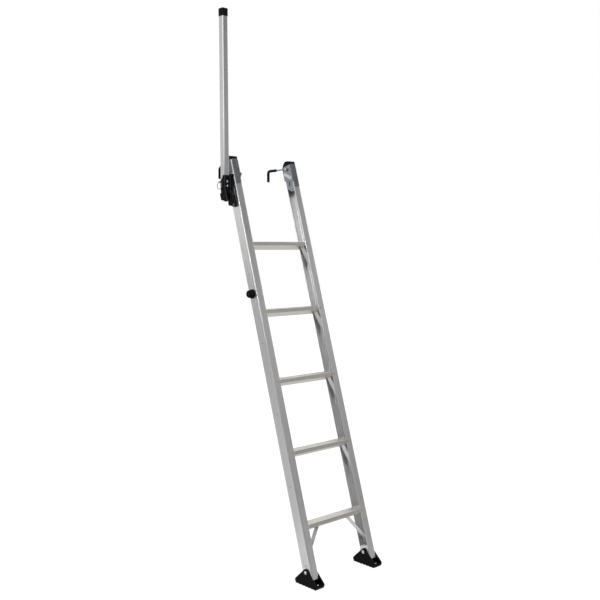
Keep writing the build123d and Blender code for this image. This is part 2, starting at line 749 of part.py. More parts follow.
with BuildPart() as rail_bracket:
    with BuildSketch(upright(block_x, rail_pivot)):
        Circle(block_pivot_radius)
        with Locations(lobe_rear):
            Circle(lobe_radius)
        make_hull()
    extrude(amount=block_thick)
    with BuildSketch(upright(-outer_x - lobe_thick, rail_pivot)):
        Circle(block_pivot_radius)
        with Locations(lobe_front, lobe_rear):
            Circle(lobe_radius)
        make_hull()
    extrude(amount=lobe_thick)
    with BuildSketch(upright(block_x, rail_pivot)):
        with BuildLine():
            Polyline(
                (-block_front, 0),
                (-block_front, block_top),
                (block_rear, block_top),
                (stop_y + stop_thick, stop_high),
                (stop_y + stop_thick, stop_low),
                (block_pivot_radius, 0),
                close=True,
            )
        make_face()
    extrude(amount=block_thick)
    with BuildSketch(upright(block_x - stop_reach, rail_pivot)):
        with Locations((stop_y + stop_thick / 2, (stop_low + stop_high) / 2)):
            Rectangle(stop_thick, stop_high - stop_low)
    extrude(amount=stop_reach)
    with BuildSketch(upright(-outer_x - relief_depth, rail_pivot)):
        with Locations((0, (relief_low + relief_high) / 2)):
            Rectangle(2 * (stop_y + stop_thick), relief_high - relief_low)
    extrude(amount=relief_depth, mode=Mode.SUBTRACT)
    with BuildSketch(upright(cheek_x, rail_pivot)) as cheek:
        with BuildLine():
            Polyline(*cheek_outline, close=True)
        make_face()
        fillet(cheek.vertices(), cheek_round)
    extrude(amount=cheek_thick)
    with BuildSketch(side(cheek_x, rail_pivot_n, rail_pivot_s)):
        with Locations((web_front_n + back_web / 2, (back_web_high + back_web_low) / 2)):
            Rectangle(back_web, back_web_high - back_web_low)
    extrude(amount=block_x - cheek_x)
    with BuildSketch(side(cheek_x, rail_pivot_n, rail_pivot_s)):
        with Locations(((web_front_n + back_web) / 2, (back_web_high + back_web_low) / 2)):
            Rectangle(web_front_n + back_web, back_web_high - back_web_low)
    extrude(amount=cheek_thick)
    with Locations(outward(upright(cheek_x, lock_place), -1)):
        Cylinder(lock_boss_radius, lock_boss, align=(Align.CENTER, Align.CENTER, Align.MIN))
    with Locations(outward(upright(cheek_inner_x, lock_place), -1)):
        bore = cheek_thick + lock_boss - lock_end_wall
        Cylinder(lock_radius + fit, bore, align=(Align.CENTER, Align.CENTER, Align.MIN), mode=Mode.SUBTRACT)
        Cylinder(lock_stem_radius + fit, 2 * (bore + lock_end_wall), mode=Mode.SUBTRACT)
    with Locations(*rail_bolt_planes(block_x)):
        Cylinder(bolt_pocket_radius, 2 * bolt_pocket, mode=Mode.SUBTRACT)
        Cylinder(screw_radius + fit, 4 * rail_gap, mode=Mode.SUBTRACT)
    with Locations(upright(cheek_x, rail_pivot)):
        reach = -outer_x - stile_wall - cheek_x
        Cylinder(rail_pivot_radius + fit, reach, align=(Align.CENTER, Align.CENTER, Align.MIN),
                 mode=Mode.SUBTRACT)
finish(rail_bracket, "rail_bracket")

with BuildPart() as rail_bracket_bolts:
    fasteners(rail_bolt_planes(block_x + bolt_pocket), screw_radius,
              block_thick - bolt_pocket + stile_wall, bolt_head_radius, bolt_head,
              screw_head_radius, screw_head)
finish(rail_bracket_bolts, "rail_bracket_bolts")

# Socket that turns on the bracket and holds the rail's foot
rail_rivet_planes = [
    Plane(origin=(rail_x, rail_pivot.Y + socket_front_y, rail_pivot.Z + height), z_dir=(0, -1, 0))
    for height in rail_rivet_heights
]
rail_foot = Plane(origin=(rail_x, rail_pivot.Y + rail_offset, rail_pivot.Z + rail_seat))

with BuildPart() as rail_socket:
    with BuildSketch(upright(socket_outer_x, rail_pivot)):
        Circle(-socket_front_y)
        with BuildLine():
            Polyline(
                (socket_front_y, 0),
                (socket_front_y, socket_top),
                (rail_offset - rail_size / 4, socket_top),
                (socket_rear, socket_rear_high),
                (socket_rear, socket_rear_low),
                close=True,
            )
        make_face()
        make_hull()
    extrude(amount=2 * socket_half)
    with BuildSketch(rail_foot):
        RectangleRounded(rail_size + 2 * socket_fit, rail_size + 2 * socket_fit, rail_round)
    extrude(amount=socket_top, mode=Mode.SUBTRACT)
    drill(rail_rivet_planes, rivet_radius + fit, 4 * socket_wall)
    drill([upright(socket_outer_x, lock_place)], lock_radius + 2 * fit, 2 * socket_half)
    drill([upright(rail_x, rail_pivot)], rail_pivot_radius + fit, 4 * socket_half)
finish(rail_socket, "rail_socket")

rail_length = rail_reach - rail_cap_top - rail_seat
with BuildPart() as rail_tube:
    with BuildSketch(rail_foot):
        RectangleRounded(rail_size, rail_size, rail_round)
        offset(amount=-rail_wall, mode=Mode.SUBTRACT)
    extrude(amount=rail_length)
    drill(rail_rivet_planes, rivet_radius + fit, 4 * (socket_wall + rail_wall))
    drill([upright(rail_x - rail_size / 2, lock_place)], lock_radius + 2 * fit, rail_size)
finish(rail_tube, "rail_tube")

with BuildPart() as rail_rivets:
    fasteners(rail_rivet_planes, rivet_radius, socket_wall + socket_fit + rail_wall,
              rivet_head_radius, rivet_head, rivet_tail_radius, rivet_tail)
finish(rail_rivets, "rail_rivets")

with BuildPart() as rail_cap:
    cap_size = rail_size + 2 * rail_cap_wall
    with BuildSketch(rail_foot.offset(rail_length + rail_cap_top - rail_cap_height)):
        RectangleRounded(cap_size, cap_size, rail_round + rail_cap_wall)
    extrude(amount=rail_cap_height)
    fillet(rail_cap.faces().sort_by(Axis.Z)[-1].edges(), rail_cap_round)
    with BuildSketch(rail_foot):
        RectangleRounded(rail_size, rail_size, rail_round)
    extrude(amount=rail_length, mode=Mode.SUBTRACT)
finish(rail_cap, "rail_cap")

pivot_bolt_grip = -outer_x - cheek_x - stile_wall
with BuildPart() as rail_pivot_bolt:
    fasteners([outward(upright(cheek_x, rail_pivot), -1)], rail_pivot_radius,
              pivot_bolt_grip - stile_wall, rail_pivot_head_radius, rail_pivot_head)
finish(rail_pivot_bolt, "rail_pivot_bolt")

# Lock plunger, drawn back clear of the socket, with an eye for its ring
plunger_tip_x = cheek_inner_x - running_gap
eye_x = lock_end_x - lock_travel - running_gap - lock_eye_radius
with BuildPart() as lock_pin:
    with Locations(outward(upright(plunger_tip_x, lock_place), -1)):
        Cylinder(lock_radius, lock_length, align=(Align.CENTER, Align.CENTER, Align.MIN))
        Cylinder(lock_stem_radius, plunger_tip_x - eye_x, align=(Align.CENTER, Align.CENTER, Align.MIN))
    with Locations(Plane(origin=(eye_x, lock_place.Y, lock_place.Z), z_dir=(0, 1, 0))):
        Cylinder(lock_eye_radius, lock_eye_width)
        Cylinder(ring_hole, 2 * lock_eye_width, mode=Mode.SUBTRACT)
finish(lock_pin, "lock_pin")

# Spring behind the plunger's collar
spring_room = cheek_thick + lock_boss - lock_end_wall - running_gap - lock_length
spring_radius = (lock_radius + lock_stem_radius) / 2
spring_height = spring_room - 2 * spring_wire - 2 * fit
spring_base = Vector(lock_end_x + lock_end_wall + spring_wire + fit, lock_place.Y, lock_place.Z)
with BuildPart() as lock_spring:
    with BuildLine() as coil:
        Helix(spring_height / spring_turns, spring_height, spring_radius,
              center=spring_base, direction=(1, 0, 0))
    with BuildSketch(Plane(origin=coil.line @ 0, z_dir=coil.line % 0)):
        Circle(spring_wire)
    sweep(is_frenet=True)
finish(lock_spring, "lock_spring")

with BuildPart() as pull_ring:
    with Locations(outward(upright(eye_x, lock_place - Vector(0, 0, ring_radius)), -1)):
        Torus(ring_radius, ring_wire)
finish(pull_ring, "pull_ring")

# Rubber rest on the left stile for the folded rail
rest_height = rail_gap - rest_clearance
rest_plane = outward(side(-outer_x, rest_n, rest_s), -1)
with BuildPart() as rail_rest:
    with Locations(rest_plane):
        Cone(rest_base_radius, rest_end_radius, rest_height, align=(Align.CENTER, Align.CENTER, Align.MIN))
    fillet(rail_rest.faces().sort_by(Axis.X)[0].edges(), rest_round)
    with Locations(rest_plane.offset(rest_height)):
        Cylinder(screw_head_radius + fit, 4 * screw_head, mode=Mode.SUBTRACT)
        Cylinder(screw_radius + fit, 4 * rest_height, mode=Mode.SUBTRACT)
finish(rail_rest, "rail_rest")

with BuildPart() as rail_rest_screw:
    fasteners([rest_plane.offset(rest_height - 2 * screw_head)], screw_radius,
              rest_height - 2 * screw_head + stile_wall, screw_head_radius, screw_head,
              screw_head_radius, screw_head)
finish(rail_rest_screw, "rail_rest_screw")

# Places of the joints and mounts, for the record
for name, x, place in (
    ("shoe_pivot", shoe_mid_x, shoe_pivot),
    ("hook_pivot", hook_eye_x, hook_pivot),
    ("latch_pivot", latch_x, latch_pivot),
    ("rail_pivot", rail_x, rail_pivot),
    ("lock_eye", eye_x, lock_place),
):
    print(f"{name} {x:.3f} {place.Y:.3f} {place.Z:.3f}")
print(f"fold_angle {fold_angle:.2f}")
print(f"rail_top {rail_pivot.Z + rail_reach:.2f}")
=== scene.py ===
import json
import math

import bpy
from mathutils import Matrix, Vector


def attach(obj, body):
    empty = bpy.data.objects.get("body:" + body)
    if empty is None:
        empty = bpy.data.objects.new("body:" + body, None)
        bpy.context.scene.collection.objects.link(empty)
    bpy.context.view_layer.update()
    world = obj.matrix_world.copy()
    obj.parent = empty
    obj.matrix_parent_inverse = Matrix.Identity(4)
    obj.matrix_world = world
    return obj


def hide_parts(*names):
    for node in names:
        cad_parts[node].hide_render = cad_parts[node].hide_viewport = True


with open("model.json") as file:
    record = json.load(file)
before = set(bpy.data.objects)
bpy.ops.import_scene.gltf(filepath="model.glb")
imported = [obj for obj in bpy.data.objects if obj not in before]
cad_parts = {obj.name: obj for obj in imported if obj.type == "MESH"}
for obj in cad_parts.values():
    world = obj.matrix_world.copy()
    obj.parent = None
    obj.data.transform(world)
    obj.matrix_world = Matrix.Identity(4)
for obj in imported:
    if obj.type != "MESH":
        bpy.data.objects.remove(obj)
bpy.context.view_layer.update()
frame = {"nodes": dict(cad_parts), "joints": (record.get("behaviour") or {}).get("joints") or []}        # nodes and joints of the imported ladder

nodes = frame["nodes"]
pivots = {joint["name"]: Vector(joint["pos_m"]) for joint in frame["joints"] if "pos_m" in joint}
scene = bpy.context.scene
scene.view_settings.view_transform = "Standard"
mm = 0.001
print("frame: %d nodes, %d pivots" % (len(nodes), len(pivots)))

# layout of the leaning ladder, mm, as the solids have it
ladder = {
    "lean": 16.3,            # degrees from upright, towards the truck
    "pivotHeight": 56.0,     # shoe bolts above the ground
    "pivotDepth": 27.0,      # shoe bolts behind the stiles' front face
    "halfClear": 152.5,      # middle to flange tip
    "outer": 187.5,          # middle to outer web face
    "depth": 50.0,           # stile, front to rear
    "top": 1810.0,           # stile ends, along the stile
    "rungs": 5,
    "lowestTread": 245.0,    # along the stile
    "rungPitch": 299.0,
}
rung = {
    "front": 3.5,            # behind the stiles' front face
    "depth": 43.0,
    "lip": 15.8,             # underside below the tread, in front
    "drop": 8.7,             # and how much lower it is at the rear
}
treads = [ladder["lowestTread"] + ladder["rungPitch"] * k for k in range(ladder["rungs"])]
leanAngle = math.radians(ladder["lean"])
leanSin, leanCos = math.sin(leanAngle), math.cos(leanAngle)
towardsTruck = Vector((0, leanCos, -leanSin))
upStile = Vector((0, leanSin, leanCos))
sideways = Vector((1, 0, 0))
pivotRun = (ladder["pivotHeight"] + ladder["pivotDepth"] * leanSin) / leanCos
frontLine = -(ladder["pivotDepth"] * leanCos + pivotRun * leanSin)


def onLadder(x, n, s):       # mm across, behind the front face and up the stile, to metres
    return (Vector((x, frontLine, 0)) + towardsTruck * n + upStile * s) * mm


def underside(n):            # of a rung, mm below its tread
    return rung["lip"] + rung["drop"] * (n - rung["front"]) / rung["depth"]


def linear(text):            # sRGB hex to a linear colour, by the sRGB curve
    parts = [int(text[i:i + 2], 16) / 255 for i in (1, 3, 5)]
    curve = [c / 12.92 if c <= 0.04045 else ((c + 0.055) / 1.055) ** 2.4 for c in parts]
    return tuple(curve) + (1.0,)


def addNode(tree, kind, inputs=None, **settings):    # a node with its settings, values and links
    node = tree.nodes.new(kind)
    for name, value in settings.items():
        setattr(node, name, value)
    for name, value in (inputs or {}).items():
        socket = node.inputs[name]
        if isinstance(value, bpy.types.NodeSocket):
            tree.links.new(value, socket)
        else:
            socket.default_value = value
    return node


def emptyMaterial(name):
    material = bpy.data.materials.new(name)
    material.use_nodes = True
    material.node_tree.nodes.clear()
    return material, material.node_tree


def shadedMaterial(name, shaderValues):
    material, tree = emptyMaterial(name)
    shader = addNode(tree, "ShaderNodeBsdfPrincipled", shaderValues)
    addNode(tree, "ShaderNodeOutputMaterial", {"Surface": shader.outputs[0]})
    return material, tree, shader


colourA, colourB, mixed = 6, 7, 2    # sockets of a Mix node that carry colours
noiseSpan = (0.3, 0.7)               # where the values of one noise mostly lie
pairSpan = (0.6, 1.4)                # and of two noises added
skinSpan = (0.7, 1.3)                # the same, cut closer for more contrast
broadDetail, fineDetail, cloudDetail = 2.0, 3.0, 4.0
edgeSamples = 8


# Edges are a little round, and there the colour turns to the look's lighter edge colour, a painted
# highlight along each edge.
def highlightEdges(tree, look, tone):
    edges = addNode(tree, "ShaderNodeBevel", {"Radius": look["edgeRound"] * mm},
                    samples=edgeSamples)
    flat = addNode(tree, "ShaderNodeNewGeometry").outputs["Normal"]
    bent = addNode(tree, "ShaderNodeVectorMath", {0: edges.outputs[0], 1: flat},
                   operation="DOT_PRODUCT")
    highlightFade = addNode(tree, "ShaderNodeMapRange", {
        "Value": bent.outputs["Value"], "From Min": look["highlightFade"][0], "From Max": look["highlightFade"][1]})
    highlighted = addNode(tree, "ShaderNodeMix", {
        "Factor": highlightFade.outputs[0], colourA: tone, colourB: linear(look["edge"])}, data_type="RGBA")
    return edges.outputs[0], highlighted.outputs[mixed]


# Aluminium, extruded or rolled: a satin metal with faint lines along the way it was drawn.
# Real die lines are about 0.3 mm apart; they are drawn a few millimetres wide so that they show.
def drawnAluminium(name, look):
    material, tree, shader = shadedMaterial(name, {"Metallic": 1.0})
    place = addNode(tree, "ShaderNodeTexCoord").outputs["Object"]
    width, length = look["lineWidth"] * mm, look["lineLength"] * mm
    drawn = addNode(tree, "ShaderNodeMapping", {
        "Vector": place, "Rotation": look["turn"], "Scale": (width, width, length)},
        vector_type="TEXTURE")
    lines = addNode(tree, "ShaderNodeTexNoise", {
        "Vector": drawn.outputs[0], "Scale": 1.0, "Detail": fineDetail}).outputs["Fac"]
    haze = addNode(tree, "ShaderNodeTexNoise", {
        "Vector": place, "Scale": 1 / (look["hazeSize"] * mm),
        "Detail": broadDetail}).outputs["Fac"]
    share = addNode(tree, "ShaderNodeMapRange", {
        "Value": lines, "From Min": noiseSpan[0], "From Max": noiseSpan[1]})
    tone = addNode(tree, "ShaderNodeMix", {
        "Factor": share.outputs[0], colourA: linear(look["dark"]), colourB: linear(look["light"])},
        data_type="RGBA")
    both = addNode(tree, "ShaderNodeMath", {0: lines, 1: haze}, operation="ADD")
    rough = addNode(tree, "ShaderNodeMapRange", {
        "Value": both.outputs[0], "From Min": pairSpan[0], "From Max": pairSpan[1],
        "To Min": look["rough"][0], "To Max": look["rough"][1]})
    tree.links.new(rough.outputs[0], shader.inputs["Roughness"])
    rounded, highlighted = highlightEdges(tree, look, tone.outputs[mixed])
    tree.links.new(highlighted, shader.inputs["Base Color"])
    bump = addNode(tree, "ShaderNodeBump", {
        "Height": lines, "Strength": look["lineStrength"], "Distance": look["lineDepth"] * mm,
        "Normal": rounded})
    tree.links.new(bump.outputs[0], shader.inputs["Normal"])
    return material


# sizes in mm; the edge colour is a painted highlight, and its fade gives the cosine of the bend
# where that highlight starts and where it is full
stileLook = {"dark": "#ebebec", "light": "#f3f3f3", "edge": "#f3f3f3", "rough": (0.27, 0.35),
             "turn": (-leanAngle, 0, 0), "lineWidth": 5.0, "lineLength": 900.0,
             "lineStrength": 0.12, "lineDepth": 0.05, "hazeSize": 60.0, "edgeRound": 4.0,
             "highlightFade": (0.99, 0.9)}
rungLook = dict(stileLook, dark="#dddad4", light="#e7e4de", turn=(0, math.pi / 2, 0),
                rough=(0.32, 0.42), edge="#e7e4de", edgeRound=2.0)
braceLook = dict(stileLook, dark="#ececec", light="#f5f5f5", rough=(0.5, 0.6), lineWidth=3.0,
                 lineLength=80.0, edgeRound=1.0)
# The rail's near-white edge colour is a painted highlight along its rounded corners.
railLook = dict(stileLook, dark="#d4d4d6", light="#dcdcdd", turn=(0, 0, 0), rough=(0.25, 0.32),
                edge="#fbfbfb")
extrudedStile = drawnAluminium("extrudedAluminiumStile", stileLook)
extrudedRung = drawnAluminium("extrudedAluminiumRung", rungLook)
rolledBrace = drawnAluminium("rolledAluminiumBrace", braceLook)
anodisedRail = drawnAluminium("anodisedAluminiumRail", railLook)


# Rivet aluminium and plated steel: small parts with the cloudy sheen of plating or peening.
def brightMetal(name, look):
    material, tree, shader = shadedMaterial(name, {"Metallic": 1.0})
    place = addNode(tree, "ShaderNodeTexCoord").outputs["Object"]
    cloud = addNode(tree, "ShaderNodeTexNoise", {
        "Vector": place, "Scale": 1 / (look["cloudSize"] * mm),
        "Detail": cloudDetail}).outputs["Fac"]
    share = addNode(tree, "ShaderNodeMapRange", {
        "Value": cloud, "From Min": noiseSpan[0], "From Max": noiseSpan[1]})
    tone = addNode(tree, "ShaderNodeMix", {
        "Factor": share.outputs[0], colourA: linear(look["dark"]), colourB: linear(look["light"])},
        data_type="RGBA")
    tree.links.new(tone.outputs[mixed], shader.inputs["Base Color"])
    rough = addNode(tree, "ShaderNodeMapRange", {
        "Value": share.outputs[0], "To Min": look["rough"][0], "To Max": look["rough"][1]})
    tree.links.new(rough.outputs[0], shader.inputs["Roughness"])
    bump = addNode(tree, "ShaderNodeBump", {
        "Height": cloud, "Strength": look["cloudStrength"], "Distance": look["cloudDepth"] * mm})
    tree.links.new(bump.outputs[0], shader.inputs["Normal"])
    return material


zincLook = {"dark": "#d2d5d9", "light": "#e6e8ea", "rough": (0.18, 0.34), "cloudSize": 6.0,
            "cloudStrength": 0.15, "cloudDepth": 0.05}
zincSteel = brightMetal("zincPlatedSteel", zincLook)
drawnWire = brightMetal("drawnSteelWire", dict(
    zincLook, dark="#7d7f83", light="#94969a", rough=(0.3, 0.42), cloudSize=8.0))
dullSteel = brightMetal("dullPlatedSteel", dict(
    zincLook, dark="#6f7174", light="#858789", rough=(0.4, 0.55), cloudSize=5.0))
peenedAluminium = brightMetal("peenedAluminiumRivet", dict(
    zincLook, dark="#c4c6c8", light="#d6d8d9", rough=(0.25, 0.38), cloudSize=4.0, cloudDepth=0.1))
weldMetal = brightMetal("weldedAluminium", dict(
    zincLook, dark="#a9acae", light="#cfd1d2", rough=(0.3, 0.45), cloudSize=3.0, cloudDepth=0.15))


# Metallic paint on castings, moulded nylon and rubber, blackened steel: skins with the fine grain
# of paint or mould.
def grainedSkin(name, look):
    material, tree, shader = shadedMaterial(name, {
        "Metallic": look["metallic"], "IOR": look["ior"], "Specular IOR Level": look["gloss"]})
    place = addNode(tree, "ShaderNodeTexCoord").outputs["Object"]
    grain = addNode(tree, "ShaderNodeTexNoise", {
        "Vector": place, "Scale": 1 / (look["grainSize"] * mm),
        "Detail": fineDetail}).outputs["Fac"]
    patch = addNode(tree, "ShaderNodeTexNoise", {
        "Vector": place, "Scale": 1 / (look["patchSize"] * mm),
        "Detail": broadDetail}).outputs["Fac"]
    both = addNode(tree, "ShaderNodeMath", {0: grain, 1: patch}, operation="ADD")
    share = addNode(tree, "ShaderNodeMapRange", {
        "Value": both.outputs[0], "From Min": skinSpan[0], "From Max": skinSpan[1]})
    tone = addNode(tree, "ShaderNodeMix", {
        "Factor": share.outputs[0], colourA: linear(look["dark"]), colourB: linear(look["light"])},
        data_type="RGBA")
    rough = addNode(tree, "ShaderNodeMapRange", {
        "Value": share.outputs[0], "To Min": look["rough"][0], "To Max": look["rough"][1]})
    tree.links.new(rough.outputs[0], shader.inputs["Roughness"])
    rounded, skin = highlightEdges(tree, look, tone.outputs[mixed])
    if "bareLitTone" in look:      # darker paint in front of the stile and outside its web, lighter bare metal elsewhere; the darker front and outside also stand for painted shade on those faces
        margin = look["paintShadeMargin"]
        deep = addNode(tree, "ShaderNodeVectorMath", {0: place, 1: towardsTruck},
                       operation="DOT_PRODUCT").outputs["Value"]
        before = addNode(tree, "ShaderNodeMath", {
            0: deep, 1: (frontLine * leanCos - margin) * mm}, operation="LESS_THAN")
        across = addNode(tree, "ShaderNodeSeparateXYZ", {"Vector": place}).outputs["X"]
        apart = addNode(tree, "ShaderNodeMath", {0: across}, operation="ABSOLUTE")
        beside = addNode(tree, "ShaderNodeMath", {
            0: apart.outputs[0], 1: (ladder["outer"] + margin) * mm}, operation="GREATER_THAN")
        paintedAndShaded = addNode(tree, "ShaderNodeMath", {0: before.outputs[0], 1: beside.outputs[0]},
                          operation="MAXIMUM")
        skin = addNode(tree, "ShaderNodeMix", {
            "Factor": paintedAndShaded.outputs[0], colourA: linear(look["bareLitTone"]), colourB: skin},
            data_type="RGBA").outputs[mixed]
    tree.links.new(skin, shader.inputs["Base Color"])
    bump = addNode(tree, "ShaderNodeBump", {
        "Height": grain, "Strength": look["grainStrength"], "Distance": look["grainDepth"] * mm,
        "Normal": rounded})
    tree.links.new(bump.outputs[0], shader.inputs["Normal"])
    return material


# The lighter edge colours of these looks are painted highlights along the edges.
nylonLook = {
    "dark": "#070708", "light": "#0f0f10", "edge": "#2e2e2f", "metallic": 0.0, "ior": 1.5,
    "gloss": 0.1, "rough": (0.48, 0.66), "grainSize": 1.5, "patchSize": 18.0, "grainStrength": 0.35,
    "grainDepth": 0.1, "edgeRound": 2.0, "highlightFade": (0.97, 0.75)}
mouldedNylon = grainedSkin("mouldedBlackNylon", nylonLook)
# The rail bracket and socket get a much lighter edge colour: a painted highlight on their corner
# seams.
highlightEdgedNylon = grainedSkin("highlightEdgedBlackNylon", dict(nylonLook, edge="#747475", edgeRound=2.5))
mouldedRubber = grainedSkin("mouldedBlackRubber", dict(
    nylonLook, dark="#080809", light="#111111", edge="#262627", gloss=0.12, rough=(0.62, 0.8),
    grainSize=1.0, patchSize=12.0, grainStrength=0.4, grainDepth=0.08, edgeRound=1.5))
blackSteel = grainedSkin("blackenedSteel", dict(
    nylonLook, dark="#121213", light="#1f1f20", edge="#3a3a3b", gloss=0.3, rough=(0.45, 0.6),
    grainSize=1.0, patchSize=8.0, grainStrength=0.2, grainDepth=0.05, edgeRound=0.5))
# The casting is darker in front of the stile and outside its web, partly its paint and partly
# painted shade on faces turned from the light; its edge colour is a painted highlight.
paintedCasting = grainedSkin("greyPaintedCasting", dict(
    nylonLook, dark="#707376", light="#888b8f", edge="#94979b", metallic=0.85, gloss=0.5,
    rough=(0.36, 0.5), grainSize=5.0, patchSize=25.0, grainStrength=0.3, grainDepth=0.15,
    edgeRound=1.5, bareLitTone="#9ba0a5", paintShadeMargin=0.2))
print("materials: aluminium, steel, nylon, rubber and paint made")

# what each solid is made of
finishes = [
    (extrudedStile, ["left_stile", "right_stile", "left_foot_insert", "right_foot_insert"]),
    (extrudedRung, ["rung_%d" % (k + 1) for k in range(ladder["rungs"])]),
    (rolledBrace, ["left_rung_braces", "right_rung_braces", "left_bottom_brace",
                   "right_bottom_brace"]),
    (anodisedRail, ["rail_tube"]),
    (paintedCasting, ["left_hook_bracket", "right_hook_bracket"]),
    (mouldedNylon, ["left_shoe", "right_shoe", "rail_cap"]),
    (highlightEdgedNylon, ["rail_bracket", "rail_socket"]),
    (mouldedRubber, ["left_sole", "right_sole", "left_top_cap", "right_top_cap",
                     "left_hook_sleeve", "right_hook_sleeve", "rail_rest"]),
    (zincSteel, ["left_hook_latch", "right_hook_latch", "lock_pin", "lock_spring"]),
    (drawnWire, ["left_hook_rod", "right_hook_rod"]),
    (dullSteel, ["pull_ring"]),
]
for material, names in finishes:
    for name in names:
        nodes[name].data.materials.clear()
        nodes[name].data.materials.append(material)
print("finishes: set on %d nodes" % sum(len(names) for material, names in finishes))


# Rivets, screws and bolts: one tree makes the head, shank and far end and sets them in place.
fastenerSizes = ["Head Radius", "Head Height", "Shank Radius", "Grip", "Tail Radius", "Tail Height",
                 "Socket Radius", "Socket Depth"]
fastenerMesh = {"headSegments": 24, "headRings": 12, "roundSides": 20, "hexagonSides": 6}


def fastenerTree(name, tailSides, hasSocket):
    tree = bpy.data.node_groups.new(name, "GeometryNodeTree")
    tree.interface.new_socket("Places", in_out="INPUT", socket_type="NodeSocketGeometry")
    for size in fastenerSizes:
        tree.interface.new_socket(size, in_out="INPUT", socket_type="NodeSocketFloat")
    tree.interface.new_socket("Material", in_out="INPUT", socket_type="NodeSocketMaterial")
    tree.interface.new_socket("Fasteners", in_out="OUTPUT", socket_type="NodeSocketGeometry")
    given = addNode(tree, "NodeGroupInput").outputs
    # a ball pressed flat below its middle gives the round head
    ball = addNode(tree, "GeometryNodeMeshUVSphere", {
        "Segments": fastenerMesh["headSegments"], "Rings": fastenerMesh["headRings"],
        "Radius": 1.0})
    position = addNode(tree, "GeometryNodeInputPosition").outputs[0]
    spot = addNode(tree, "ShaderNodeSeparateXYZ", {"Vector": position}).outputs
    above = addNode(tree, "ShaderNodeMath", {0: spot["Z"], 1: 0.0}, operation="MAXIMUM")
    pressed = addNode(tree, "ShaderNodeCombineXYZ", {
        "X": spot["X"], "Y": spot["Y"], "Z": above.outputs[0]})
    dome = addNode(tree, "GeometryNodeSetPosition", {
        "Geometry": ball.outputs[0], "Position": pressed.outputs[0]})
    spread = addNode(tree, "ShaderNodeCombineXYZ", {
        "X": given["Head Radius"], "Y": given["Head Radius"], "Z": given["Head Height"]})
    head = addNode(tree, "GeometryNodeTransform", {
        "Geometry": dome.outputs[0], "Scale": spread.outputs[0]}).outputs[0]
    if hasSocket:           # a hexagon, half of it above the head, cuts the socket
        reach = addNode(tree, "ShaderNodeCombineXYZ", {"Z": given["Head Height"]})
        twice = addNode(tree, "ShaderNodeMath", {0: given["Socket Depth"], 1: 2.0},
                        operation="MULTIPLY")
        hexagon = addNode(tree, "GeometryNodeMeshCylinder", {
            "Vertices": fastenerMesh["hexagonSides"], "Radius": given["Socket Radius"],
            "Depth": twice.outputs[0]})
        sunk = addNode(tree, "GeometryNodeTransform", {
            "Geometry": hexagon.outputs[0], "Translation": reach.outputs[0]})
        head = addNode(tree, "GeometryNodeMeshBoolean", {"Mesh 1": head, "Mesh 2": sunk.outputs[0]},
                       operation="DIFFERENCE").outputs[0]
    shank = addNode(tree, "GeometryNodeMeshCylinder", {
        "Vertices": fastenerMesh["roundSides"], "Radius": given["Shank Radius"],
        "Depth": given["Grip"]})
    shankDown = addNode(tree, "ShaderNodeMath", {0: given["Grip"], 1: -0.5}, operation="MULTIPLY")
    shankDrop = addNode(tree, "ShaderNodeCombineXYZ", {"Z": shankDown.outputs[0]})
    shankSet = addNode(tree, "GeometryNodeTransform", {
        "Geometry": shank.outputs[0], "Translation": shankDrop.outputs[0]})
    tail = addNode(tree, "GeometryNodeMeshCylinder", {
        "Vertices": tailSides, "Radius": given["Tail Radius"], "Depth": given["Tail Height"]})
    tailHalf = addNode(tree, "ShaderNodeMath", {0: given["Tail Height"], 1: 0.5},
                       operation="MULTIPLY")
    tailMiddle = addNode(tree, "ShaderNodeMath", {0: given["Grip"], 1: tailHalf.outputs[0]},
                         operation="ADD")
    tailDown = addNode(tree, "ShaderNodeMath", {0: tailMiddle.outputs[0], 1: -1.0},
                       operation="MULTIPLY")
    tailDrop = addNode(tree, "ShaderNodeCombineXYZ", {"Z": tailDown.outputs[0]})
    tailSet = addNode(tree, "GeometryNodeTransform", {
        "Geometry": tail.outputs[0], "Translation": tailDrop.outputs[0]})
    whole = addNode(tree, "GeometryNodeJoinGeometry")
    for part in (head, shankSet.outputs[0], tailSet.outputs[0]):
        tree.links.new(part, whole.inputs[0])
    facing = addNode(tree, "GeometryNodeInputNamedAttribute", {"Name": "facing"},
                     data_type="FLOAT_VECTOR")
    turned = addNode(tree, "FunctionNodeAlignRotationToVector", {"Vector": facing.outputs[0]},
                     axis="Z")
    placed = addNode(tree, "GeometryNodeInstanceOnPoints", {
        "Points": given["Places"], "Instance": whole.outputs[0], "Rotation": turned.outputs[0]})
    real = addNode(tree, "GeometryNodeRealizeInstances", {0: placed.outputs[0]})
    finished = addNode(tree, "GeometryNodeSetMaterial", {
        "Geometry": real.outputs[0], "Material": given["Material"]})
    addNode(tree, "NodeGroupOutput", {0: finished.outputs[0]})
    return tree


rivetTree = fastenerTree("setRivets", fastenerMesh["roundSides"], False)
screwTree = fastenerTree("setSocketScrews", fastenerMesh["hexagonSides"], True)
sharpAngle = 35      # degrees between faces, past which an edge stays sharp


